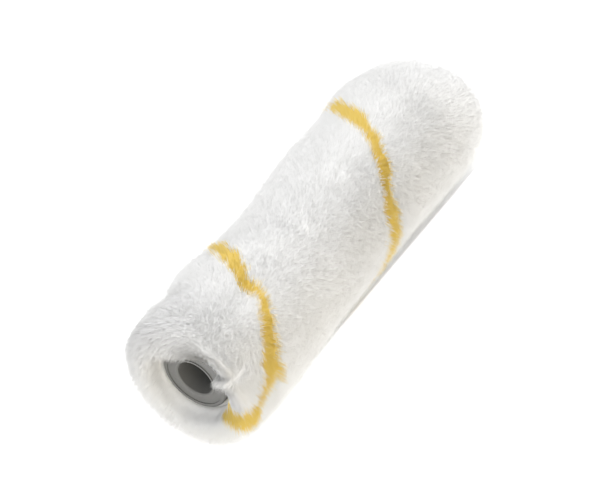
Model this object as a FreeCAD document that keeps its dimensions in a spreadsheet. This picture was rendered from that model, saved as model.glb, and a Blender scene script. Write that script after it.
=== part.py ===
import FreeCAD, Part
import math
import os
import Sketcher

# Small-area paint roller refill: a plastic core tube with a bored bush pressed into each
# end, wrapped with a helical strip of knitted pile fabric that has one gold yarn stripe.
# Millimetres. +X runs along the roller from the near end to the far end, +Z is up, and
# the origin lies on the bore's axis, half way between the two flange faces. The roller
# lies on its side, and its pile is flattened a little where it rests.

# name, value, what it is
SIZES = [
    ("roller_length", 100.0, "over the outer faces of the two flanges"),
    ("core_outer_dia", 17.0, "core tube, outside"),
    ("core_wall", 1.5, "core tube, wall"),
    ("flange_thick", 1.5, "bush flange, along the axis"),
    ("flange_inset", 0.1, "flange rim below the tube's outside, on radius"),
    ("flange_round", 0.45, "round on the flange's outer rim"),
    ("dish_depth", 0.25, "shallow dish in the flange face"),
    ("dish_rim", 1.0, "raised rim around the dish, on radius"),
    ("dish_collar", 0.7, "raised collar around the bore, on radius"),
    ("bore_dia", 9.2, "bore for the frame's spindle"),
    ("bore_chamfer", 0.3, "lead at both ends of the bore"),
    ("spigot_length", 12.0, "bush barrel inside the tube"),
    ("spigot_gap", 0.35, "barrel to tube on radius, bridged by the crush ribs"),
    ("spigot_lead", 0.8, "chamfer on the barrel's leading end"),
    ("rib_dia", 1.2, "round crush ribs on the barrel"),
    ("rib_count", 6, "crush ribs on each barrel"),
    ("film_thick", 0.2, "adhesive between tube and fabric"),
    ("backing_thick", 0.7, "knitted backing of the pile fabric"),
    ("wind_pitch", 52.4, "advance of the fabric strip in one turn"),
    ("seam_gap", 0.3, "gap between the strip's edges, along the axis"),
    ("stripe_place", -29.7, "stripe's middle on the top line of the roller"),
    ("stripe_width", 4.5, "gold yarn stripe, along the axis"),
    ("pile_near_height", 9.5, "pile above the backing at the near end"),
    ("pile_far_height", 8.5, "pile above the backing at the far end"),
    ("pile_overhang", 7.0, "pile past the flange faces"),
    ("pile_throat", 2.0, "straight stretch of the pile's mouth past the flange faces"),
    ("pile_flare", 4.0, "opening of the pile's mouth beyond that, on radius"),
    ("pile_end_round", 4.0, "round on the pile's outer ends, as far as its end wall allows"),
    ("rest_flatten", 0.3, "pile pressed in at the thinner end by what it rests on"),
    ("cut_margin", 2.0, "how far cutting shapes run past what they cut"),
]

# worked out from the sizes above
DERIVED = [
    ("core_radius", "=core_outer_dia / 2"),
    ("core_inner_radius", "=core_radius - core_wall"),
    ("core_length", "=roller_length - 2 * flange_thick"),
    ("core_half", "=core_length / 2"),
    ("flange_radius", "=core_radius - flange_inset"),
    ("dish_outer_radius", "=flange_radius - dish_rim"),
    ("bore_radius", "=bore_dia / 2"),
    ("dish_inner_radius", "=bore_radius + dish_collar"),
    ("barrel_radius", "=core_inner_radius - spigot_gap"),
    ("barrel_end", "=flange_thick + spigot_length"),
    ("rib_radius", "=rib_dia / 2"),
    ("rib_place", "=core_inner_radius - rib_radius"),
    ("rib_length", "=spigot_length - spigot_lead"),
    ("film_radius", "=core_radius + film_thick"),
    ("backing_radius", "=film_radius + backing_thick"),
    ("pile_near_radius", "=backing_radius + pile_near_height"),
    ("pile_far_radius", "=backing_radius + pile_far_height"),
    ("pile_half", "=roller_length / 2 + pile_overhang"),
    ("throat_place", "=roller_length / 2 + pile_throat"),
    ("mouth_radius", "=backing_radius + pile_flare"),
    ("thin_end_wall", "=min(pile_near_radius; pile_far_radius) - mouth_radius"),
    ("end_round", "=min(pile_end_round; 0.95 * thin_end_wall)"),
    ("rest_depth", "=min(pile_near_radius; pile_far_radius) - rest_flatten"),
    ("cutter_radius", "=max(pile_near_radius; pile_far_radius) + cut_margin"),
    ("wind_reach", "=pile_half + cut_margin"),
    ("wind_length", "=(ceil(2 * wind_reach / wind_pitch) + 1) * wind_pitch"),
    ("stripe_turns", "=ceil((wind_reach + stripe_place) / wind_pitch)"),
    ("stripe_start", "=stripe_place - stripe_turns * wind_pitch - stripe_width / 2"),
    ("stripe_end", "=stripe_start + stripe_width"),
    ("seam_place", "=stripe_place + wind_pitch / 2"),
    ("seam_turns", "=ceil((wind_reach + seam_place) / wind_pitch)"),
    ("seam_start", "=seam_place - seam_turns * wind_pitch - seam_gap / 2"),
    ("seam_end", "=seam_start + seam_gap"),
]

doc = FreeCAD.newDocument("roller_refill")
sheet = doc.addObject("Spreadsheet::Sheet", "sizes")


def fill_sheet():
    """Write every size and derived size to the sheet, one row each, with its alias."""
    rows = [(name, str(size), note) for name, size, note in SIZES]
    rows += [(name, formula, "worked out") for name, formula in DERIVED]
    for row, (name, content, note) in enumerate(rows, start=1):
        sheet.set(f"A{row}", name)
        sheet.set(f"B{row}", content)
        sheet.set(f"C{row}", note)
        sheet.setAlias(f"B{row}", name)
    doc.recompute()


def size(term):
    """Value of an alias; a leading minus turns its sign."""
    if term.startswith("-"):
        return -float(sheet.get(term[1:]))
    return float(sheet.get(term))


def bind(thing, path, term):
    """Tie one property of an object to an alias of the sheet."""
    if term.startswith("-"):
        thing.setExpression(path, f"-sizes.{term[1:]}")
    else:
        thing.setExpression(path, f"sizes.{term}")


def new_body(name):
    body = doc.addObject("PartDesign::Body", name)
    body.Label = name
    return body


def new_sketch(body, name, role, offset=None):
    """Sketch on one of the body's own origin planes, moved along its normal by an alias."""
    sketch = body.newObject("Sketcher::SketchObject", name)
    plane = [item for item in body.Origin.OriginFeatures if item.Role == role][0]
    sketch.AttachmentSupport = [(plane, "")]
    sketch.MapMode = "FlatFace"
    if offset:
        bind(sketch, "AttachmentOffset.Base.z", offset)
    return sketch


def pin(sketch, geometry, point, across, up):
    """Hold a point of a sketch at two aliases; the word axis puts it on that axis."""
    for kind, term, axis in (("DistanceX", across, -2), ("DistanceY", up, -1)):
        if term == "axis":
            sketch.addConstraint(Sketcher.Constraint("PointOnObject", geometry, point, axis))
        else:
            rule = Sketcher.Constraint(kind, -1, 1, geometry, point, size(term))
            bind(sketch, f"Constraints[{sketch.addConstraint(rule)}]", term)


def outline(sketch, corners):
    """Closed outline of straight lines through corners given as pairs of aliases."""
    spots = []
    for across, up in corners:
        spot = [0.0 if term == "axis" else size(term) for term in (across, up)]
        spots.append(FreeCAD.Vector(spot[0], spot[1], 0))
    for start, end in zip(spots, spots[1:] + spots[:1]):
        sketch.addGeometry(Part.LineSegment(start, end))
    for line, (across, up) in enumerate(corners):
        before = (line - 1) % len(corners)
        sketch.addConstraint(Sketcher.Constraint("Coincident", before, 2, line, 1))
        pin(sketch, line, 1, across, up)


def circle(sketch, across, up, radius):
    """Circle with its centre at two aliases and its radius at a third."""
    centre = [0.0 if term == "axis" else size(term) for term in (across, up)]
    normal = FreeCAD.Vector(0, 0, 1)
    shape = Part.Circle(FreeCAD.Vector(centre[0], centre[1], 0), normal, size(radius))
    ring = sketch.addGeometry(shape)
    pin(sketch, ring, 3, across, up)
    rule = Sketcher.Constraint("Radius", ring, size(radius))
    bind(sketch, f"Constraints[{sketch.addConstraint(rule)}]", radius)


def revolve(body, name, corners):
    """Solid of revolution about the body's X axis, from an outline in its XZ plane."""
    sketch = new_sketch(body, f"{name}_section", "XZ_Plane")
    outline(sketch, corners)
    feature = body.newObject("PartDesign::Revolution", name)
    feature.Profile = sketch
    feature.ReferenceAxis = (sketch, ["H_Axis"])
    feature.Angle = 360
    doc.recompute()
    return feature


def wind(body, kind, name, corners):
    """Left-handed helical sweep about the X axis, from an outline in the XZ plane."""
    sketch = new_sketch(body, f"{name}_section", "XZ_Plane")
    outline(sketch, corners)
    feature = body.newObject(kind, name)
    feature.Profile = sketch
    feature.ReferenceAxis = (sketch, ["H_Axis"])
    feature.Mode = 0
    feature.LeftHanded = True
    bind(feature, "Pitch", "wind_pitch")
    bind(feature, "Height", "wind_length")
    doc.recompute()
    return feature


def ring_edges(feature, places):
    """Names of the circular edges at each (axial place, radius) pair of aliases."""
    names = []
    for along, radius in places:
        along_mm = 0.0 if along == "axis" else size(along)
        for number, edge in enumerate(feature.Shape.Edges, start=1):
            curve = edge.Curve
            if not isinstance(curve, Part.Circle):
                continue
            same_place = math.isclose(curve.Center.x, along_mm, abs_tol=1e-6)
            if same_place and math.isclose(curve.Radius, size(radius), abs_tol=1e-6):
                names.append(f"Edge{number}")
    if len(names) < len(places):
        raise RuntimeError(f"{feature.Name}: an edge to dress is missing")
    return names


def dress(body, kind, name, base, places, amount):
    """Chamfer or fillet on circular edges, sized by an alias."""
    feature = body.newObject(f"PartDesign::{kind}", name)
    feature.Base = (base, ring_edges(base, places))
    bind(feature, "Radius" if kind == "Fillet" else "Size", amount)
    doc.recompute()
    return feature


def sleeve(name, inner, outer):
    """Plain tube about the X axis, as long as the core tube."""
    body = new_body(name)
    half = "core_half"
    corners = [(f"-{half}", inner), (half, inner), (half, outer), (f"-{half}", outer)]
    revolve(body, f"{name}_wall", corners)
    return body


def end_bush(name, side):
    """Bored bush: flange, barrel and crush ribs; its flange face is on its own YZ plane."""
    body = new_body(name)
    blank = revolve(body, f"{name}_blank", [
        ("axis", "bore_radius"),
        ("axis", "dish_inner_radius"),
        ("dish_depth", "dish_inner_radius"),
        ("dish_depth", "dish_outer_radius"),
        ("axis", "dish_outer_radius"),
        ("axis", "flange_radius"),
        ("flange_thick", "flange_radius"),
        ("flange_thick", "barrel_radius"),
        ("barrel_end", "barrel_radius"),
        ("barrel_end", "bore_radius"),
    ])
    bore_ends = [("axis", "bore_radius"), ("barrel_end", "bore_radius")]
    bored = dress(body, "Chamfer", f"{name}_bore_lead", blank, bore_ends, "bore_chamfer")
    barrel_lip = [("barrel_end", "barrel_radius")]
    led = dress(body, "Chamfer", f"{name}_lead", bored, barrel_lip, "spigot_lead")
    rim = [("axis", "flange_radius")]
    dress(body, "Fillet", f"{name}_rim", led, rim, "flange_round")

    section = new_sketch(body, f"{name}_rib_section", "YZ_Plane", "flange_thick")
    circle(section, "axis", "rib_place", "rib_radius")
    rib = body.newObject("PartDesign::Pad", f"{name}_rib")
    rib.Profile = section
    bind(rib, "Length", "rib_length")
    doc.recompute()
    ribs = body.newObject("PartDesign::PolarPattern", f"{name}_ribs")
    ribs.Originals = [rib]
    ribs.Axis = (section, ["N_Axis"])
    ribs.Angle = 360
    bind(ribs, "Occurrences", "rib_count")
    body.Tip = ribs

    if side > 0:
        half_turn = FreeCAD.Rotation(FreeCAD.Vector(0, 0, 1), 180)
        body.Placement = FreeCAD.Placement(FreeCAD.Vector(), half_turn)
    body.setExpression("Placement.Base.x", f"{side} * sizes.roller_length / 2")
    doc.recompute()
    return body


def fabric_backing():
    """Knitted backing: a sleeve wound from one strip, so a thin seam runs round it."""
    body = sleeve("fabric_backing", "film_radius", "backing_radius")
    whole = body.Shape.Volume
    seam = wind(body, "PartDesign::SubtractiveHelix", "backing_seam", [
        ("seam_start", "core_inner_radius"),
        ("seam_end", "core_inner_radius"),
        ("seam_end", "cutter_radius"),
        ("seam_start", "cutter_radius"),
    ])
    body.Tip = seam
    doc.recompute()
    if not 0 < whole - body.Shape.Volume < 0.1 * whole:
        raise RuntimeError("the backing's seam is not cut as it should be")
    return body


def pile_envelope():
    """All of the pile as one shape: tapered, flared at its mouths, flat where it rests."""
    body = new_body("pile_envelope")
    blank = revolve(body, "pile_blank", [
        ("-throat_place", "backing_radius"),
        ("throat_place", "backing_radius"),
        ("pile_half", "mouth_radius"),
        ("pile_half", "pile_far_radius"),
        ("-pile_half", "pile_near_radius"),
        ("-pile_half", "mouth_radius"),
    ])
    ends = [("-pile_half", "pile_near_radius"), ("pile_half", "pile_far_radius")]
    rounded = dress(body, "Fillet", "pile_ends", blank, ends, "end_round")
    whole = rounded.Shape.Volume
    section = new_sketch(body, "rest_section", "YZ_Plane", "pile_half")
    outline(section, [
        ("-cutter_radius", "-cutter_radius"),
        ("cutter_radius", "-cutter_radius"),
        ("cutter_radius", "-rest_depth"),
        ("-cutter_radius", "-rest_depth"),
    ])
    flat = body.newObject("PartDesign::Pocket", "rest_flat")
    flat.Profile = section
    flat.Type = "ThroughAll"
    body.Tip = flat
    doc.recompute()
    if not 0 < whole - body.Shape.Volume < 0.1 * whole:
        raise RuntimeError("the pile's resting flat is not cut as it should be")
    return body


def stripe_band():
    """Helical band that parts the gold yarn from the white."""
    body = new_body("stripe_band")
    wind(body, "PartDesign::AdditiveHelix", "stripe_sweep", [
        ("stripe_start", "core_radius"),
        ("stripe_end", "core_radius"),
        ("stripe_end", "cutter_radius"),
        ("stripe_start", "cutter_radius"),
    ])
    return body


def share(name, kind, whole, tool):
    """One yarn's part of the pile: what the band cuts away or what it keeps."""
    piece = doc.addObject(kind, name)
    piece.Label = name
    piece.Base = whole
    piece.Tool = tool
    return piece


fill_sheet()
pile = pile_envelope()
band = stripe_band()
pieces = [
    sleeve("core_tube", "core_inner_radius", "core_radius"),
    end_bush("end_bush_near", -1),
    end_bush("end_bush_far", 1),
    sleeve("adhesive_film", "core_radius", "film_radius"),
    fabric_backing(),
    share("pile_white", "Part::Cut", pile, band),
    share("pile_gold", "Part::Common", pile, band),
]
doc.recompute()

for item in doc.Objects:
    if "Invalid" in item.State or "Error" in item.State:
        raise RuntimeError(f"{item.Label} did not build: {item.State}")
for piece in pieces:
    if piece.Shape.isNull() or not piece.Shape.isValid():
        raise RuntimeError(f"{piece.Label} has no valid shape")

os.makedirs("parts", exist_ok=True)
for piece in pieces:
    piece.Shape.exportStep(f"parts/{piece.Label}.step")
    box = piece.Shape.optimalBoundingBox()
    print(f"{piece.Label}: {len(piece.Shape.Solids)} solid, {piece.Shape.Volume:.1f} mm3,",
          f"{box.XLength:.2f} x {box.YLength:.2f} x {box.ZLength:.2f} mm")
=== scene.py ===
import math

import bpy
from bpy.props import FloatProperty, FloatVectorProperty, IntProperty, PointerProperty
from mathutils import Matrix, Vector, noise


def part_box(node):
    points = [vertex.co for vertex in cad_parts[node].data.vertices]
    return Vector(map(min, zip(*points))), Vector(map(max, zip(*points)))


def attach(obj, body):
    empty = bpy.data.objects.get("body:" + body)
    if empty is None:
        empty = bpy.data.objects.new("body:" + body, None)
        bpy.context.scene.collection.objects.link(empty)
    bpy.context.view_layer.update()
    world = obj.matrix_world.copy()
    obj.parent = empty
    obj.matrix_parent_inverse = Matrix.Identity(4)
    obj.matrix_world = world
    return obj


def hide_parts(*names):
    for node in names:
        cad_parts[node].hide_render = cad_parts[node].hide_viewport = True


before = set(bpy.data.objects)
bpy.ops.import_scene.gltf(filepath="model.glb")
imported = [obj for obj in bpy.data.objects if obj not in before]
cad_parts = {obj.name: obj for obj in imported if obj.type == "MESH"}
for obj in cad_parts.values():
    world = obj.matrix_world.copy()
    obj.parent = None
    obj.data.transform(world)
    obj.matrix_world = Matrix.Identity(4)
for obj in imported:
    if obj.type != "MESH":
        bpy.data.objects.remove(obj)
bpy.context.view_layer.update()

bl_info = {
    "name": "Roller refill finish",
    "version": (1, 0, 0),
    "blender": (4, 5, 0),
    "location": "3D View > Sidebar > Roller",
    "description": "Pile, backing, plastics and studio for a small paint roller refill",
    "category": "Mesh",
}

MM = 0.001
BODY = "root"

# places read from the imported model, in metres; the roller's axis is the X axis
PILE_LOW, PILE_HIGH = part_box("pile_white")
BACKING_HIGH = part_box("fabric_backing")[1]
FILM_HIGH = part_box("adhesive_film")[1]
PILE_HALF = PILE_HIGH.x
NEAR_RADIUS = PILE_HIGH.y
REST_Z = PILE_LOW.z
BACKING_HALF = BACKING_HIGH.x
BACKING_RADIUS = BACKING_HIGH.y
FILM_RADIUS = FILM_HIGH.y


# ---------------------------------------------------------------- sizes and colours

class PileSizes(bpy.types.PropertyGroup):
    """Sizes of the pile, the stripe in it and the strands that it is made of."""

    far_radius: FloatProperty(
        name="Far radius", description="Pile surface at the far end",
        default=17.9 * MM, unit="LENGTH")
    skin_depth: FloatProperty(
        name="Skin depth", description="Felted mass below the strand tips",
        default=2.9 * MM, unit="LENGTH")
    strand_length: FloatProperty(
        name="Strand length", description="Loose length of one strand",
        default=2.8 * MM, unit="LENGTH")
    strand_radius: FloatProperty(
        name="Strand radius", description="Radius of a strand at its root",
        default=0.055 * MM, unit="LENGTH")
    density: FloatProperty(
        name="Density", description="Strands on a square metre of skin",
        default=15.5e6)
    lean: FloatProperty(
        name="Lean", description="How far strands lean together in tufts",
        default=0.15)
    stray: FloatProperty(
        name="Stray", description="How far each strand leans by itself",
        default=0.2)
    tuft_size: FloatProperty(
        name="Tuft size", description="Distance over which strands lean alike",
        default=3.2 * MM, unit="LENGTH")
    curl: FloatProperty(
        name="Curl", description="Sideways bend of a strand's tip",
        default=0.25 * MM, unit="LENGTH")
    droop: FloatProperty(
        name="Droop", description="Fall of a strand's tip under its weight",
        default=0.5 * MM, unit="LENGTH")
    wind_pitch: FloatProperty(
        name="Wind pitch", description="Advance of the pile strip in one turn",
        default=52.4 * MM, unit="LENGTH")
    stripe_place: FloatProperty(
        name="Stripe place", description="Stripe's middle on the roller's top line",
        default=-29.7 * MM, unit="LENGTH")
    stripe_width: FloatProperty(
        name="Stripe width", description="Gold yarn stripe, along the axis",
        default=4.5 * MM, unit="LENGTH")
    seed: IntProperty(name="Seed", description="Fixed seed of the strands", default=7)


class RollerColours(bpy.types.PropertyGroup):
    """Colours of the yarns and the plastics."""

    white: FloatVectorProperty(
        name="White yarn", description="Colour of the white pile", subtype="COLOR",
        default=(0.93, 0.93, 0.92))
    white_pale: FloatVectorProperty(
        name="Palest white", description="Palest strands of the white pile",
        subtype="COLOR", default=(0.955, 0.955, 0.95))
    gold: FloatVectorProperty(
        name="Gold yarn", description="Colour of the stripe", subtype="COLOR",
        default=(0.86, 0.62, 0.12))
    gold_pale: FloatVectorProperty(
        name="Palest gold", description="Palest strands of the stripe",
        subtype="COLOR", default=(0.90, 0.72, 0.30))
    bush: FloatVectorProperty(
        name="Bush", description="Colour of the moulded bushes", subtype="COLOR",
        default=(0.13, 0.13, 0.125))
    tube: FloatVectorProperty(
        name="Core tube", description="Colour of the core tube", subtype="COLOR",
        default=(0.20, 0.20, 0.19))
    film: FloatVectorProperty(
        name="Film", description="Colour of the set adhesive", subtype="COLOR",
        default=(0.75, 0.70, 0.55))
    backing: FloatVectorProperty(
        name="Backing", description="Colour of the knitted backing", subtype="COLOR",
        default=(0.80, 0.79, 0.76))


# ---------------------------------------------------------------- node trees

class Flow:
    """An output socket; arithmetic on it adds Math or Vector Math nodes to its tree."""

    def __init__(self, build, socket):
        self.build = build
        self.socket = socket

    def vector(self):
        return self.socket.type in ("VECTOR", "RGBA", "ROTATION")

    def maths(self, operation, *terms):
        return self.build.node("ShaderNodeMath", {"operation": operation}, terms)

    def vectors(self, operation, *terms):
        return self.build.node("ShaderNodeVectorMath", {"operation": operation}, terms)

    def pair(self, operation, first, second):
        vector = any(isinstance(term, Flow) and term.vector() for term in (first, second))
        return (self.vectors if vector else self.maths)(operation, first, second)

    def __add__(self, other):
        return self.pair("ADD", self, other)

    def __radd__(self, other):
        return self.pair("ADD", other, self)

    def __sub__(self, other):
        return self.pair("SUBTRACT", self, other)

    def __rsub__(self, other):
        return self.pair("SUBTRACT", other, self)

    def __mul__(self, other):
        other_vector = isinstance(other, Flow) and other.vector()
        if self.vector() != other_vector:
            vector, number = (self, other) if self.vector() else (other, self)
            return self.build.node(
                "ShaderNodeVectorMath", {"operation": "SCALE"},
                {"Vector": vector, "Scale": number})
        return self.pair("MULTIPLY", self, other)

    __rmul__ = __mul__

    def __truediv__(self, other):
        return self.maths("DIVIDE", self, other)

    def __rtruediv__(self, other):
        return self.maths("DIVIDE", other, self)


class Build:
    """Adds nodes to one tree."""

    def __init__(self, tree):
        self.tree = tree

    def node(self, kind, settings=None, sockets=None, output=0):
        """A node with its settings made first, then its sockets fed; returns one output."""
        made = self.tree.nodes.new(kind)
        for name, setting in (settings or {}).items():
            setattr(made, name, setting)
        if not isinstance(sockets, dict):
            sockets = dict(enumerate(sockets or ()))
        for name, feed in sockets.items():
            if isinstance(feed, Flow):
                self.tree.links.new(feed.socket, made.inputs[name])
            else:
                made.inputs[name].default_value = feed
        return Flow(self, made.outputs[output]) if made.outputs else made

    def output(self, flow, name):
        """Another output of the node that a flow comes from."""
        return Flow(self, flow.socket.node.outputs[name])

    def separate(self, flow):
        made = self.node("ShaderNodeSeparateXYZ", sockets=[flow])
        return [self.output(made, axis) for axis in "XYZ"]

    def combine(self, x, y, z):
        return self.node("ShaderNodeCombineXYZ", sockets=[x, y, z])

    def off_axis(self, y, z):
        """Distance of a place from the roller's axis."""
        flat = self.combine(0.0, y, z)
        return self.output(flat.vectors("LENGTH", flat), "Value")

    def turn(self, y, z):
        """Angle of a place round the roller's axis."""
        return self.node("ShaderNodeMath", {"operation": "ARCTAN2"}, [z, y])


class Surface(Build):
    """A material with one Principled shader."""

    def __init__(self, name):
        self.material = bpy.data.materials.new(name)
        self.material.use_nodes = True
        super().__init__(self.material.node_tree)
        self.tree.nodes.clear()
        self.shader = self.tree.nodes.new("ShaderNodeBsdfPrincipled")
        end = self.tree.nodes.new("ShaderNodeOutputMaterial")
        self.tree.links.new(self.shader.outputs[0], end.inputs["Surface"])

    def place(self):
        return self.node("ShaderNodeTexCoord", output="Object")

    def noise(self, scale, detail):
        return self.node(
            "ShaderNodeTexNoise", None,
            {"Vector": self.place(), "Scale": scale, "Detail": detail})

    def blend(self, factor, first, second):
        """Mix of two colours, each a flow or three numbers."""
        sides = [side if isinstance(side, Flow) else (*side, 1) for side in (first, second)]
        return self.node(
            "ShaderNodeMix", {"data_type": "RGBA"},
            {"Factor": factor, 6: sides[0], 7: sides[1]}, output=2)

    def bump(self, height, distance, strength):
        return self.node(
            "ShaderNodeBump", None,
            {"Height": height, "Distance": distance, "Strength": strength})

    def finish(self, **sockets):
        for name, feed in sockets.items():
            socket = self.shader.inputs[name.replace("_", " ")]
            if isinstance(feed, Flow):
                self.tree.links.new(feed.socket, socket)
            else:
                socket.default_value = feed
        return self.material


def darker(colour, share):
    """A colour with each of its parts multiplied."""
    return tuple(part * share for part in colour)


# ---------------------------------------------------------------- materials

TOOL_MARK = 0.55 * MM    # spacing of the turned rings on the plastics


def yarn_material(name, colour, pale):
    """Strands: colour darkens from tip to root, a painted shade deep in the pile, and each
    strand has its own tone.
    """
    surface = Surface(name)
    own_map = surface.node("ShaderNodeUVMap", {"uv_map": "OFBake"})
    tone, along, _ = surface.separate(own_map)
    # painted shade: each strand is a little darker at its root
    body = surface.blend(along, darker(colour, 0.94), colour)
    mixed = surface.blend(tone * 0.5, body, pale)
    return surface.finish(
        Base_Color=mixed, Roughness=0.85, Specular_IOR_Level=0.2,
        Sheen_Weight=0.1, Sheen_Roughness=0.5)


def felt_material(name, colours, sizes):
    """The mass under the strands: white, with the gold root band wound through it."""
    surface = Surface(name)
    edge = stripe_nodes(surface, surface.place(), (sizes.stripe_place, sizes.wind_pitch))
    half_width = sizes.stripe_width / 2
    mask = surface.node(
        "ShaderNodeMapRange", {"interpolation_type": "SMOOTHSTEP"},
        {"Value": edge, "From Min": half_width - 0.3 * MM, "From Max": half_width + 0.3 * MM,
         "To Min": 1.0, "To Max": 0.0})
    tufts = surface.noise(900, 4)
    white = surface.blend(tufts, darker(colours.white, 0.86), colours.white)
    gold = surface.blend(tufts, darker(colours.gold, 0.75), colours.gold)
    return surface.finish(
        Base_Color=surface.blend(mask, white, gold), Roughness=0.95,
        Specular_IOR_Level=0.1, Normal=surface.bump(tufts, 0.4 * MM, 0.6))


def plastic_material(name, colour, grain, wear):
    """Moulded or extruded plastic: fine grain, faint flow marks and scuffs."""
    surface = Surface(name)
    _, y, z = surface.separate(surface.place())
    fine = surface.noise(grain, 4)
    flow = surface.noise(160, 2)
    radius = surface.off_axis(y, z)
    rings = radius.maths("SINE", radius * (math.tau / TOOL_MARK))
    tone = surface.blend(flow, darker(colour, 0.86), darker(colour, 1.10))
    scuffed = surface.blend(fine * wear, tone, darker(colour, 1.5))
    height = fine * 0.7 + rings * 0.12
    return surface.finish(
        Base_Color=scuffed, Roughness=0.42 + flow * 0.2, Specular_IOR_Level=0.45,
        Normal=surface.bump(height, 0.03 * MM, 0.5))


def film_material(name, colour):
    """Set adhesive: slightly glossy, cloudy and pitted."""
    surface = Surface(name)
    cloud = surface.noise(350, 3)
    tone = surface.blend(cloud, darker(colour, 0.8), colour)
    return surface.finish(
        Base_Color=tone, Roughness=0.25 + cloud * 0.2,
        Normal=surface.bump(surface.noise(1500, 2), 0.05 * MM, 0.4))


def knit_material(name, colour):
    """Knitted backing: loops in rows round the tube, read from its own map."""
    surface = Surface(name)
    rows, wales, _ = surface.separate(surface.node("ShaderNodeUVMap", {"uv_map": "knit"}))
    ribs = rows.maths("SINE", rows * math.tau)
    loops = wales.maths("SINE", wales * math.tau + ribs * 1.2)
    height = ribs * 0.25 + loops * 0.25 + 0.5
    tone = surface.blend(height, darker(colour, 0.72), colour)
    return surface.finish(
        Base_Color=tone, Roughness=0.95, Specular_IOR_Level=0.15,
        Normal=surface.bump(height, 0.12 * MM, 0.8))


# ---------------------------------------------------------------- how the pile lies

# Each hill: place along the axis and its reach there, in millimetres; angle round the
# axis and its reach there, in degrees; and how high it is at its middle.

# swells and dents of the pile's surface, in millimetres
SKIN_HILLS = (
    (-39.0, 1.8, 26, 30, -3.6),
    (-30.0, 4.0, 26, 30, 0.5),
    (-9.0, 12.0, 26, 50, -1.6),
    (14.0, 6.0, 20, 30, 0.5),
    (36.0, 7.0, 26, 40, 1.6),
    (10.0, 45.0, 206, 50, -1.4),
    (53.0, 6.0, 58, 48, -2.6),
    (54.0, 5.0, 86, 18, -1.4),
    (53.0, 6.0, 150, 60, -0.9),
    (-53.0, 5.0, 270, 90, -1.1),
)
# how far the strands lie over towards the far end, in millimetres
LAY_HILLS = (
    (-33.0, 6.0, 97, 8, -1.2),
    (-36.0, 7.0, 112, 9, 1.2),
    (-42.0, 9.0, 144, 15, -2.4),
    (-48.0, 4.0, 172, 12, -0.7),
    (-51.0, 4.0, 199, 13, 2.4),
    (-56.5, 3.0, 206, 30, -3.4),
    (20.0, 12.0, 84, 20, 1.0),
    (10.0, 16.0, 140, 26, -2.4),
)
# how much of the stripe's half width white strands cover, in millimetres
COVER_HILLS = (
    (-21.5, 6.0, 32, 17, 2.1),
    (31.0, 5.0, 30, 13, 1.6),
    (20.0, 8.0, 186, 20, 0.7),
)
# how far the pile stands out from the near mouth, in millimetres
MOUTH_HILLS = (
    (-52.0, 60.0, 128, 26, 3.5),
    (-52.0, 60.0, 172, 22, 1.8),
)
# outward slope of the strands around the near mouth
FRINGE_HILLS = (
    (-52.0, 6.0, 58, 28, -0.35),
    (-52.0, 6.0, 122, 24, 1.6),
    (-52.0, 6.0, 141, 5, -1.8),
    (-52.0, 6.0, 172, 20, 1.1),
)


def hill_sum(x, angle, hills):
    """Height of a list of hills at a place; millimetres come out in metres."""
    total = 0.0
    for place, reach, turn, sweep, height in hills:
        across = math.remainder(angle - math.radians(turn), math.tau) / math.radians(sweep)
        along = (x - place * MM) / (reach * MM)
        total += height * MM * math.exp(-along * along - across * across)
    return total


def hill_nodes(x, angle, hills):
    """The same height, as nodes."""
    total = 0.0
    for place, reach, turn, sweep, height in hills:
        across = angle - math.radians(turn)
        across = across.maths("WRAP", across, math.pi, -math.pi) * (1 / math.radians(sweep))
        along = (x - place * MM) * (1 / (reach * MM))
        weight = (along * along + across * across) * -1.0
        total = total + weight.maths("EXPONENT", weight) * (height * MM)
    return total


FAN_START = 40 * MM      # from here to the ends the strands fan out along the axis
FAN_EASE = 3 * MM        # the fan comes in over this length
ROOT_FAN = 0.5           # share of the way past there that a strand's root falls short
YARN_FAN = 0.72          # the same, for where the stripe's yarn shows
SIDE_SPREAD = 1.1        # how many times narrower than its yarn the stripe shows
END_SPREAD = 1.5         # what the ends add to that
THROAT_DEPTH = 0.7 * MM  # the stripe fades out this close to the backing
THROAT_FADE = 5.0        # how fast it does
RAGGED_SCALE = 230.0     # how closely the stripe's ragged edge varies
RAGGED_DEPTH = 5.0 * MM  # and by how much


def stripe_nodes(build, place, sizes):
    """Distance from the stripe's middle, as nodes: along the axis, with a ragged edge.

    sizes gives the stripe's place and the wind pitch, as numbers or as flows.
    """
    stripe_place, wind_pitch = sizes
    x, y, z = build.separate(place)
    angle = build.turn(y, z)
    reach = x.maths("ABSOLUTE", x)
    past = reach.maths("MAXIMUM", reach - FAN_START, 0.0)
    yarn_x = x.maths("SIGN", x) * (reach - past * YARN_FAN)
    yarn_x = yarn_x - hill_nodes(x, angle, LAY_HILLS)
    lead = (yarn_x - stripe_place) / wind_pitch + angle / math.tau - 0.25
    from_stripe = lead.maths("ABSOLUTE", lead.maths("WRAP", lead, 0.5, -0.5))
    over_end = (reach - SKIN_END) / MM
    over_end = over_end.maths("MAXIMUM", over_end.maths("MINIMUM", over_end, 1.0), 0.0)
    spread = past.maths("MINIMUM", past / FAN_EASE, 1.0) * (1.0 - over_end)
    spread = spread * (YARN_FAN / (1 - YARN_FAN)) + SIDE_SPREAD + over_end * END_SPREAD
    ragged = build.node("ShaderNodeTexNoise", None, {"Vector": place, "Scale": RAGGED_SCALE})
    radius = build.off_axis(y, z)
    throat = radius.maths("MAXIMUM", (BACKING_RADIUS + THROAT_DEPTH) - radius, 0.0)
    covered = hill_nodes(x, angle, COVER_HILLS)
    edge = covered + from_stripe * wind_pitch * spread + (ragged - 0.5) * RAGGED_DEPTH
    return edge + throat * THROAT_FADE


# ---------------------------------------------------------------- pile shape

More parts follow.
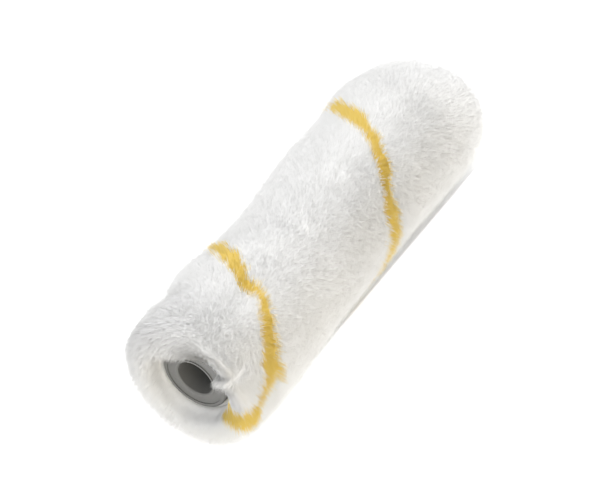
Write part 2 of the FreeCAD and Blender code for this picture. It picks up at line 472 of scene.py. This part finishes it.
SKIN_END = BACKING_HALF + MM     # where the skin starts to round off
END_REACH = 3.5 * MM     # how far its rounded end reaches past there
MOUTH_SKEW = 1.5         # how far out the skin's end is fullest
INNER_GAP = 0.08 * MM    # felt to backing
REST_SKIN = 1.0 * MM     # skin above what the roller rests on
AROUND = 240             # points in a ring of the skin
ALONG = 200              # rings along its side
ROUNDING = 24            # rings over each of its ends
INSIDE = 20              # steps back along its inside
LUMPS = ((11 * MM, 0.5 * MM), (4.5 * MM, 0.12 * MM))     # sizes and depths of its lumps


def lump(place, size, depth):
    """Height of smooth lumps of the pile at a place on it."""
    return depth * noise.noise(place / size)


def skin_radius(x, angle, sizes):
    """Radius of the felted mass, before its ends round off."""
    share = (x + BACKING_HALF) / (2 * BACKING_HALF)
    plain = NEAR_RADIUS + share * (sizes.far_radius - NEAR_RADIUS) - sizes.skin_depth
    spot = Vector((x, plain * math.cos(angle), plain * math.sin(angle)))
    lumps = sum(lump(spot, size, depth) for size, depth in LUMPS)
    return plain + lumps + hill_sum(x, angle, SKIN_HILLS)


def skin_profile():
    """(x, bend) pairs from the near mouth over the outside to the far one.

    The bend is pi at a mouth and 0 where the end has become the side.
    """
    near = []
    for step in range(ROUNDING):
        bend = math.pi * (1 - step / ROUNDING)
        near.append((-SKIN_END - END_REACH * math.sin(bend), bend))
    side = [(SKIN_END * (2 * step / ALONG - 1), 0.0) for step in range(ALONG + 1)]
    far = [(-x, bend) for x, bend in reversed(near)]
    return near + side + far


def rest_clamp(z, depth):
    """Height softly held above the surface that the roller rests on."""
    floor = REST_Z + depth
    if z > floor + MM:
        return z
    return floor + MM * math.exp((z - floor - MM) / MM)


def skin_rings(sizes):
    """Rings of points of the skin, one for each pair of the profile."""
    rings = []
    for x, bend in skin_profile():
        swell = ((1 + math.cos(bend)) / 2) ** MOUTH_SKEW
        ring = []
        for step in range(AROUND):
            angle = math.tau * step / AROUND
            outer = skin_radius(x, angle, sizes)
            radius = BACKING_RADIUS + INNER_GAP
            radius += (outer - radius) * swell
            if x < -BACKING_HALF and bend:
                radius += math.sin(bend) ** 2 * hill_sum(x, angle, MOUTH_HILLS)
            height = rest_clamp(radius * math.sin(angle), REST_SKIN)
            ring.append((x, radius * math.cos(angle), height))
        rings.append(ring)
    return rings


def mesh_of_rings(name, rings, closed):
    """Quads between rings of points; closed joins the last ring to the first."""
    around = len(rings[0])
    points = [point for ring in rings for point in ring]
    faces = []
    for row in range(len(rings) if closed else len(rings) - 1):
        low = row * around
        high = (row + 1) % len(rings) * around
        for step in range(around):
            after = (step + 1) % around
            faces.append((low + step, low + after, high + after, high + step))
    mesh = bpy.data.meshes.new(name)
    mesh.from_pydata(points, [], faces)
    mesh.shade_smooth()
    mesh.update()
    return mesh


def new_piece(name, mesh, material=None):
    """An object for a mesh, linked to the scene."""
    piece = bpy.data.objects.new(name, mesh)
    bpy.context.scene.collection.objects.link(piece)
    if material:
        mesh.materials.append(material)
    return piece


def settle(piece, slot, *nodes):
    """A finished piece rides on the roller and stands for its CAD nodes."""
    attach(piece, BODY)
    if nodes:
        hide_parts(*nodes)


# ---------------------------------------------------------------- strands

STRIP = 0.01             # width of one strand's strip of its map
MIXED_EDGE = 1.0 * MM    # how far single strands stray over the stripe's edge
REST_EASE = 0.8 * MM     # strands are pressed flat within this height of their rest
SHORTEST, LONGEST = 0.7, 1.15    # shares of the strand length
SWIRLS = 2.2             # patches of like curl to a tuft
TUFT_SHADE = 0.07        # how much a tuft's lean shows in its shading
STRAY_SHADE = 0.03       # the same, for each strand's own lean


def strand_shape():
    """One strand, 1 long and 1 in radius: a closed three-sided spike."""
    corners = [(math.cos(a), math.sin(a)) for a in (0, math.tau / 3, 2 * math.tau / 3)]
    points = [(x, y, 0) for x, y in corners] + [(0.8 * x, 0.8 * y, 0.5) for x, y in corners]
    points.append((0, 0, 1))
    faces = [(2, 1, 0)]
    for side in range(3):
        after = (side + 1) % 3
        faces.append((side, after, after + 3, side + 3))
        faces.append((side + 3, after + 3, 6))
    mesh = bpy.data.meshes.new("strand_shape")
    mesh.from_pydata(points, [], faces)
    across = mesh.attributes.new("across", "FLOAT", "POINT")
    across.data.foreach_set("value", [0, 1, 0.5, 0, 1, 0.5, 0.5])
    along = mesh.attributes.new("along", "FLOAT", "POINT")
    along.data.foreach_set("value", [0, 0.05, 0.1, 0.5, 0.5, 0.55, 1])
    return new_piece("strand_shape", mesh)


STRAND_INPUTS = [
    ("Skin", "NodeSocketGeometry"),
    ("Strand", "NodeSocketObject"),
    ("Material", "NodeSocketMaterial"),
    ("From", "NodeSocketFloat"),
    ("To", "NodeSocketFloat"),
    ("Gold", "NodeSocketBool"),
    ("Density", "NodeSocketFloat"),
    ("Length", "NodeSocketFloat"),
    ("Radius", "NodeSocketFloat"),
    ("Lean", "NodeSocketFloat"),
    ("Stray", "NodeSocketFloat"),
    ("Tuft size", "NodeSocketFloat"),
    ("Curl", "NodeSocketFloat"),
    ("Droop", "NodeSocketFloat"),
    ("Stripe place", "NodeSocketFloat"),
    ("Stripe width", "NodeSocketFloat"),
    ("Wind pitch", "NodeSocketFloat"),
    ("Seed", "NodeSocketInt"),
]


def strand_tree():
    """Geometry nodes that plant strands on the skin, part by part and yarn by yarn."""
    tree = bpy.data.node_groups.new("pile_strands", "GeometryNodeTree")
    for name, kind in STRAND_INPUTS:
        tree.interface.new_socket(name=name, in_out="INPUT", socket_type=kind)
    tree.interface.new_socket(name="Pile", in_out="OUTPUT", socket_type="NodeSocketGeometry")
    build = Build(tree)
    group = tree.nodes.new("NodeGroupInput")
    given = {name: Flow(build, group.outputs[name]) for name, _ in STRAND_INPUTS}

    planted = build.node(
        "GeometryNodeDistributePointsOnFaces", {"distribute_method": "RANDOM"},
        {"Mesh": given["Skin"], "Density": given["Density"], "Seed": given["Seed"]})
    place = build.node("GeometryNodeInputPosition")
    kept = build.node(
        "GeometryNodeDeleteGeometry", {"domain": "POINT"},
        {"Geometry": planted, "Selection": unwanted_strands(build, given, place)})

    tuft = patches(build, place, 1.0 / given["Tuft size"], 1.0)
    stray = random_value(build, "FLOAT_VECTOR", (-1, -1, -1), (1, 1, 1), 5)
    way = fan_nodes(build, place) + tuft * (given["Lean"] * 2.0) + stray * given["Stray"]
    swirl = patches(build, place, SWIRLS / given["Tuft size"], 0.0)
    bend = swirl * (given["Curl"] * 2.0) + build.combine(0.0, 0.0, given["Droop"] * -1.0)
    soft = build.output(planted, "Normal") + tuft * TUFT_SHADE + stray * STRAY_SHADE
    kept = store(build, kept, "bend", "FLOAT_VECTOR", bend)
    kept = store(build, kept, "soft", "FLOAT_VECTOR", soft.vectors("NORMALIZE", soft))
    kept = store(build, kept, "tone", "FLOAT", random_value(build, "FLOAT", 0.0, 1.0, 13))

    strands = stand_strands(build, given, kept, way.vectors("NORMALIZE", way))
    build.node("NodeGroupOutput", None, [dress_strands(build, given, strands)])
    return tree


def unwanted_strands(build, given, place):
    """True where a strand is of the other yarn or outside this length of the roller."""
    chance = random_value(build, "FLOAT", -MIXED_EDGE, MIXED_EDGE, 3)
    stripe = given["Stripe place"], given["Wind pitch"]
    edge = stripe_nodes(build, place, stripe) + chance
    is_gold = build.node(
        "FunctionNodeCompare", {"operation": "LESS_THAN"},
        {"A": edge, "B": given["Stripe width"] * 0.5})
    other_yarn = build.node(
        "FunctionNodeBooleanMath", {"operation": "XOR"}, [is_gold, given["Gold"]])
    x, _, _ = build.separate(place)
    before = build.node(
        "FunctionNodeCompare", {"operation": "LESS_THAN"}, {"A": x, "B": given["From"]})
    beyond = build.node(
        "FunctionNodeCompare", {"operation": "GREATER_EQUAL"}, {"A": x, "B": given["To"]})
    elsewhere = build.node("FunctionNodeBooleanMath", {"operation": "OR"}, [before, beyond])
    return build.node("FunctionNodeBooleanMath", {"operation": "OR"}, [elsewhere, other_yarn])


def fan_nodes(build, place):
    """Way from a strand's root on the backing through its place, with the fringe's slope."""
    x, y, z = build.separate(place)
    flat = build.combine(0.0, y, z)
    outward = flat.vectors("NORMALIZE", flat)
    angle = build.turn(y, z)
    reach = x.maths("ABSOLUTE", x)
    past = reach.maths("MAXIMUM", reach - FAN_START, 0.0)
    lay = hill_nodes(x, angle, LAY_HILLS)
    root_x = x.maths("SIGN", x) * (reach - past * ROOT_FAN) - lay
    root = build.combine(root_x, 0.0, 0.0) + outward * BACKING_RADIUS
    splay = outward * (hill_nodes(x, angle, FRINGE_HILLS) * (1 / MM))
    return place.vectors("NORMALIZE", place - root) + splay


def patches(build, place, scale, detail):
    """A smoothly varying vector around zero."""
    colour = build.node(
        "ShaderNodeTexNoise", None,
        {"Vector": place, "Scale": scale, "Detail": detail}, output="Color")
    return colour - (0.5, 0.5, 0.5)


def stand_strands(build, given, points, way):
    """Strands stood on the points, bent at their tips and kept off their rest."""
    shape = build.node("GeometryNodeObjectInfo", None, {"Object": given["Strand"]},
                       output="Geometry")
    spin = random_value(build, "FLOAT", 0.0, math.tau, 17)
    turned = build.node(
        "FunctionNodeAlignRotationToVector", {"axis": "Z"},
        {"Rotation": build.combine(0.0, 0.0, spin), "Vector": way})
    size = random_value(build, "FLOAT", SHORTEST, LONGEST, 11)
    sized = build.combine(given["Radius"], given["Radius"], given["Length"] * size)
    strands = build.node(
        "GeometryNodeInstanceOnPoints", None,
        {"Points": points, "Instance": shape, "Rotation": turned, "Scale": sized})
    strands = build.node("GeometryNodeRealizeInstances", None, [strands])
    along = named(build, "along", "FLOAT")
    bent = build.node(
        "GeometryNodeSetPosition", None,
        {"Geometry": strands,
         "Offset": named(build, "bend", "FLOAT_VECTOR") * (along * along)})
    x, y, z = build.separate(build.node("GeometryNodeInputPosition"))
    over = (z - (REST_Z + REST_EASE)) * (1 / REST_EASE)
    pressed = z.maths("EXPONENT", over.maths("MINIMUM", over, 0.0)) * REST_EASE + REST_Z
    rising = over.maths("MAXIMUM", over, 0.0) * REST_EASE
    return build.node(
        "GeometryNodeSetPosition", None,
        {"Geometry": bent, "Position": build.combine(x, y, pressed + rising)})


def dress_strands(build, given, strands):
    """Map, soft shading and material; a strand's strip of the map is placed by its tone."""
    tone, across = named(build, "tone", "FLOAT"), named(build, "across", "FLOAT")
    strip = tone * (1 - STRIP) + across * STRIP
    mapped = build.node(
        "GeometryNodeStoreNamedAttribute", {"data_type": "FLOAT2", "domain": "CORNER"},
        {"Geometry": strands, "Name": "OFBake",
         "Value": build.combine(strip, named(build, "along", "FLOAT"), 0.0)})
    smooth = build.node("GeometryNodeSetShadeSmooth", None, {"Geometry": mapped})
    smooth = build.node(
        "GeometryNodeSetMeshNormal", {"mode": "FREE", "domain": "POINT"},
        {"Mesh": smooth, "Custom Normal": named(build, "soft", "FLOAT_VECTOR")})
    return build.node(
        "GeometryNodeSetMaterial", None,
        {"Geometry": smooth, "Material": given["Material"]})


def random_value(build, kind, low, high, seed):
    """Random number or vector for each point; a fixed seed for each use."""
    vector = kind == "FLOAT_VECTOR"
    first = 0 if vector else 2
    return build.node(
        "FunctionNodeRandomValue", {"data_type": kind},
        {first: low, first + 1: high, "Seed": seed}, output=0 if vector else 1)


def named(build, name, kind):
    return build.node("GeometryNodeInputNamedAttribute", {"data_type": kind}, {"Name": name})


def store(build, geometry, name, kind, value):
    return build.node(
        "GeometryNodeStoreNamedAttribute", {"data_type": kind, "domain": "POINT"},
        {"Geometry": geometry, "Name": name, "Value": value})


def grow(name, skin_mesh, tree, inputs):
    """Runs the tree on a copy of the skin and returns the strands as a plain piece."""
    piece = new_piece(name, skin_mesh.copy())
    modifier = piece.modifiers.new("strands", "NODES")
    modifier.node_group = tree
    for item in tree.interface.items_tree:
        if item.in_out == "INPUT" and item.name in inputs:
            modifier[item.identifier] = inputs[item.name]
    graph = bpy.context.evaluated_depsgraph_get()
    mesh = bpy.data.meshes.new_from_object(piece.evaluated_get(graph))
    mesh.name = name
    piece.modifiers.clear()
    piece.data = mesh
    for spare in ("bend", "soft", "tone", "along", "across"):
        if spare in mesh.attributes:
            mesh.attributes.remove(mesh.attributes[spare])
    if not mesh.polygons:
        raise RuntimeError(f"{name}: the strands did not grow")
    return piece


def strand_inputs(sizes, shape, material, low, high, gold):
    """What the tree is given for one yarn, from one place along the axis to another."""
    return {
        "Strand": shape, "Material": material, "From": low, "To": high, "Gold": gold,
        "Density": sizes.density, "Length": sizes.strand_length,
        "Radius": sizes.strand_radius, "Lean": sizes.lean, "Stray": sizes.stray,
        "Tuft size": sizes.tuft_size, "Curl": sizes.curl, "Droop": sizes.droop,
        "Stripe place": sizes.stripe_place, "Stripe width": sizes.stripe_width,
        "Wind pitch": sizes.wind_pitch, "Seed": sizes.seed,
    }


def pile_kit():
    """The skin's mesh, the strand's shape and the tree, made once for all the yarns."""
    skin = bpy.data.meshes.get("pile_skin")
    if skin is None:
        sizes = bpy.context.scene.roller_pile
        skin = mesh_of_rings("pile_skin", skin_rings(sizes), False)
    shape = bpy.data.objects.get("strand_shape") or strand_shape()
    tree = bpy.data.node_groups.get("pile_strands") or strand_tree()
    return skin, shape, tree


# ---------------------------------------------------------------- operators

class ROLLER_OT_plastics(bpy.types.Operator):
    """Finish the core tube, the two bushes and the adhesive film"""

    bl_idname = "roller.plastics"
    bl_label = "Tube, bushes and film"

    def execute(self, context):
        colours = context.scene.roller_colours
        moulded = plastic_material("bush_plastic", colours.bush, 2600, 0.18)
        extruded = plastic_material("core_plastic", colours.tube, 900, 0.1)
        finishes = {
            "end_bush_near": moulded,
            "end_bush_far": moulded,
            "core_tube": extruded,
            "adhesive_film": film_material("adhesive", colours.film),
        }
        for node, material in finishes.items():
            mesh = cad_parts[node].data
            mesh.materials.clear()
            mesh.materials.append(material)
        return {"FINISHED"}


class ROLLER_OT_backing(bpy.types.Operator):
    """Wind the knitted backing strip round the film"""

    bl_idname = "roller.backing"
    bl_label = "Knitted backing"

    def execute(self, context):
        sizes = context.scene.roller_pile
        colours = context.scene.roller_colours
        piece = wound_strip(sizes, knit_material("backing_knit", colours.backing))
        settle(piece, "backing_knit", "fabric_backing")
        return {"FINISHED"}


SEAM_GAP = 0.3 * MM      # between the strip's edges, along the axis
STRIP_CLEARANCE = 0.02 * MM      # strip to film, and strip to pile
STITCHES = 0.9           # loops of the knit to a column, and to a millimetre across


def wound_strip(sizes, material):
    """Backing as one strip wound in a helix: columns along it, rows across it."""
    across, around = 24, 72
    turns = 2 * BACKING_HALF / sizes.wind_pitch + 1
    seam = sizes.stripe_place + sizes.wind_pitch / 2
    start = seam - math.ceil((BACKING_HALF + seam) / sizes.wind_pitch) * sizes.wind_pitch
    columns = math.ceil((turns + 1) * around)
    inner, outer = FILM_RADIUS + STRIP_CLEARANCE, BACKING_RADIUS - STRIP_CLEARANCE
    points, places = [], []
    for column in range(columns + 1):
        angle = math.tau / 4 - math.tau * column / around
        lead = start + sizes.wind_pitch * (column / around - 1)
        for radius in (inner, outer):
            for row in range(across + 1):
                x = lead + SEAM_GAP / 2 + (sizes.wind_pitch - SEAM_GAP) * row / across
                x = min(max(x, -BACKING_HALF), BACKING_HALF)
                points.append((x, radius * math.cos(angle), radius * math.sin(angle)))
                places.append((column * STITCHES, x / MM * STITCHES))
    return strip_piece(points, places, columns, across, material)


def strip_piece(points, places, columns, across, material):
    """Closed strip from two layers of points."""
    wide = across + 1
    faces = []
    for column in range(columns):
        here, there = column * 2 * wide, (column + 1) * 2 * wide
        for row in range(across):
            low, high = row, row + 1
            faces.append((here + low, here + high, there + high, there + low))
            faces.append((here + wide + low, there + wide + low,
                          there + wide + high, here + wide + high))
        faces.append((here, there, there + wide, here + wide))
        faces.append((here + across, here + wide + across,
                      there + wide + across, there + across))
    for column, turned in ((0, False), (columns, True)):
        here = column * 2 * wide
        for row in range(across):
            face = (here + row, here + wide + row, here + wide + row + 1, here + row + 1)
            faces.append(face[::-1] if turned else face)
    mesh = bpy.data.meshes.new("backing_strip")
    mesh.from_pydata(points, [], faces)
    knit = mesh.uv_layers.new(name="knit")
    for loop in mesh.loops:
        knit.data[loop.index].uv = places[loop.vertex_index]
    mesh.materials.append(material)
    return new_piece("backing_strip", mesh)


class ROLLER_OT_felt(bpy.types.Operator):
    """Shape the felted mass that the strands stand on"""

    bl_idname = "roller.felt"
    bl_label = "Felted mass"

    def execute(self, context):
        sizes = context.scene.roller_pile
        rings = skin_rings(sizes)
        radius = BACKING_RADIUS + INNER_GAP
        turns = [math.tau * turn / AROUND for turn in range(AROUND)]
        for step in range(1, INSIDE):
            x = SKIN_END * (1 - 2 * step / INSIDE)
            rings.append([(x, radius * math.cos(a), radius * math.sin(a)) for a in turns])
        mesh = mesh_of_rings("pile_felt", rings, True)
        felt = felt_material("white_pile_felt", context.scene.roller_colours, sizes)
        settle(new_piece("pile_felt", mesh, felt), "white_pile", "pile_white")
        return {"FINISHED"}


WHITE_PARTS = 10         # lengths that the white pile is grown in


class ROLLER_OT_white_pile(bpy.types.Operator):
    """Grow the white strands, in lengths of the roller that stay light enough"""

    bl_idname = "roller.white_pile"
    bl_label = "White pile"

    def execute(self, context):
        sizes = context.scene.roller_pile
        colours = context.scene.roller_colours
        yarn = yarn_material("white_pile", colours.white, colours.white_pale)
        skin, shape, tree = pile_kit()
        step = 2 * PILE_HALF / WHITE_PARTS
        for part in range(WHITE_PARTS):
            low = -PILE_HALF + part * step
            inputs = strand_inputs(sizes, shape, yarn, low, low + step, False)
            piece = grow(f"pile_white_{part + 1}", skin, tree, inputs)
            settle(piece, "white_pile", "pile_white")
        return {"FINISHED"}


class ROLLER_OT_gold_pile(bpy.types.Operator):
    """Grow the gold strands of the stripe"""

    bl_idname = "roller.gold_pile"
    bl_label = "Gold stripe"

    def execute(self, context):
        sizes = context.scene.roller_pile
        colours = context.scene.roller_colours
        yarn = yarn_material("gold_pile", colours.gold, colours.gold_pale)
        skin, shape, tree = pile_kit()
        inputs = strand_inputs(sizes, shape, yarn, -PILE_HALF, PILE_HALF, True)
        settle(grow("pile_gold_stripe", skin, tree, inputs), "gold_pile", "pile_gold")
        bpy.data.objects.remove(shape)
        return {"FINISHED"}


class ROLLER_OT_stage(bpy.types.Operator):
    """Set the floor, the lights and the camera"""

    bl_idname = "roller.stage"
    bl_label = "Stage"

    def execute(self, context):
        scene = context.scene
        scene.view_settings.view_transform = "Standard"
        make_floor()
        scene.world = bpy.data.worlds.new("studio")
        scene.world.use_nodes = True
        sky = scene.world.node_tree.nodes["Background"]
        sky.inputs["Color"].default_value = (1, 1, 1, 1)
        sky.inputs["Strength"].default_value = 1.2
        area_light("key", Vector((-0.03, 0.0, 0.26)), size=0.25, power=0.44,
                   colour=(1.0, 1.0, 1.0))
        area_light("fill", Vector((-0.3, -0.45, 0.08)), size=0.4, power=1.0,
                   colour=(1.0, 0.87, 0.60))
        aim_camera(scene)
        return {"FINISHED"}


def edge_nodes(build, place, edge, softness):
    """0 below an edge and 1 above it, with a soft step."""
    return build.node(
        "ShaderNodeMapRange", {"interpolation_type": "SMOOTHSTEP"},
        {"Value": place, "From Min": edge - softness, "From Max": edge + softness})


FLOOR_HALF = 3.0         # metres from the middle of the floor to its sides
SHADE_SIDE = -11.4 * MM  # the floor's glow stops here, next to the middle of the roller, giving a painted contact shadow
SHADE_TAPER = 0.012      # and this share of the way along, further out
SHADE_EDGE = 0.3 * MM    # softness of that side
SHADE_START = -36 * MM   # it stops only from here towards the far end
SHADE_FADE = 12 * MM     # and comes in this slowly


def make_floor():
    """A pale card that glows a little, but not under the roller: the missing glow there is a
    painted contact shadow.
    """
    mesh = bpy.data.meshes.new("floor")
    corners = [(x * FLOOR_HALF, y * FLOOR_HALF, REST_Z)
               for x, y in ((-1, -1), (1, -1), (1, 1), (-1, 1))]
    mesh.from_pydata(corners, [], [(0, 1, 2, 3)])
    surface = Surface("floor_card")
    x, y, _ = surface.separate(surface.place())
    # painted contact shadow: the glow goes dark in a thin band next to and under the roller
    shadow_beside = edge_nodes(surface, y + x * SHADE_TAPER, SHADE_SIDE, SHADE_EDGE)
    under = shadow_beside * edge_nodes(surface, x, SHADE_START, SHADE_FADE)
    material = surface.finish(
        Base_Color=(0.92, 0.92, 0.92, 1), Roughness=0.9, Specular_IOR_Level=0.0,
        Emission_Color=surface.blend(under, (1, 1, 1), (0, 0, 0)), Emission_Strength=0.42)
    new_piece("floor", mesh, material)


def area_light(name, place, size, power, colour):
    """A square light that faces the middle of the roller."""
    light = bpy.data.lights.new(name, "AREA")
    light.size = size
    light.energy = power
    light.color = colour
    lamp = bpy.data.objects.new(name, light)
    lamp.location = place
    lamp.rotation_euler = (-place).to_track_quat("-Z", "Y").to_euler()
    bpy.context.scene.collection.objects.link(lamp)


CAMERA_TURN = 302.2      # degrees round the roller
CAMERA_RISE = 47.2       # degrees above the floor
CAMERA_DISTANCE = 0.8    # metres
CAMERA_LENS = 207.65     # millimetres
CAMERA_SHIFT = (-0.0231, 0.0018)


def aim_camera(scene):
    """A long lens that looks down along the roller from its near end."""
    turn, rise = math.radians(CAMERA_TURN), math.radians(CAMERA_RISE)
    back = Vector((math.sin(turn) * math.cos(rise),
                   -math.cos(turn) * math.cos(rise), math.sin(rise)))
    data = bpy.data.cameras.new("camera")
    data.lens = CAMERA_LENS
    data.sensor_width = 36.0
    data.shift_x, data.shift_y = CAMERA_SHIFT
    camera = bpy.data.objects.new("camera", data)
    camera.location = back * CAMERA_DISTANCE
    camera.rotation_euler = back.to_track_quat("Z", "Y").to_euler()
    scene.collection.objects.link(camera)
    scene.camera = camera


# ---------------------------------------------------------------- panel and registration

STEPS = ("plastics", "backing", "felt", "white_pile", "gold_pile", "stage")


class ROLLER_PT_panel(bpy.types.Panel):
    """Sizes, colours and steps of the roller refill"""

    bl_idname = "ROLLER_PT_panel"
    bl_label = "Roller refill"
    bl_space_type = "VIEW_3D"
    bl_region_type = "UI"
    bl_category = "Roller"

    def draw(self, context):
        for group in (context.scene.roller_pile, context.scene.roller_colours):
            for name in group.__annotations__:
                self.layout.prop(group, name)
        for step in STEPS:
            self.layout.operator(f"roller.{step}")


CLASSES = (
    PileSizes,
    RollerColours,
    ROLLER_OT_plastics,
    ROLLER_OT_backing,
    ROLLER_OT_felt,
    ROLLER_OT_white_pile,
    ROLLER_OT_gold_pile,
    ROLLER_OT_stage,
    ROLLER_PT_panel,
)


def register():
    for each in CLASSES:
        bpy.utils.register_class(each)
    bpy.types.Scene.roller_pile = PointerProperty(type=PileSizes)
    bpy.types.Scene.roller_colours = PointerProperty(type=RollerColours)


def unregister():
    del bpy.types.Scene.roller_colours
    del bpy.types.Scene.roller_pile
    for each in reversed(CLASSES):
        bpy.utils.unregister_class(each)


def main():
    register()
    for step in STEPS:
        getattr(bpy.ops.roller, step)()


if __name__ == "__main__":
    main()
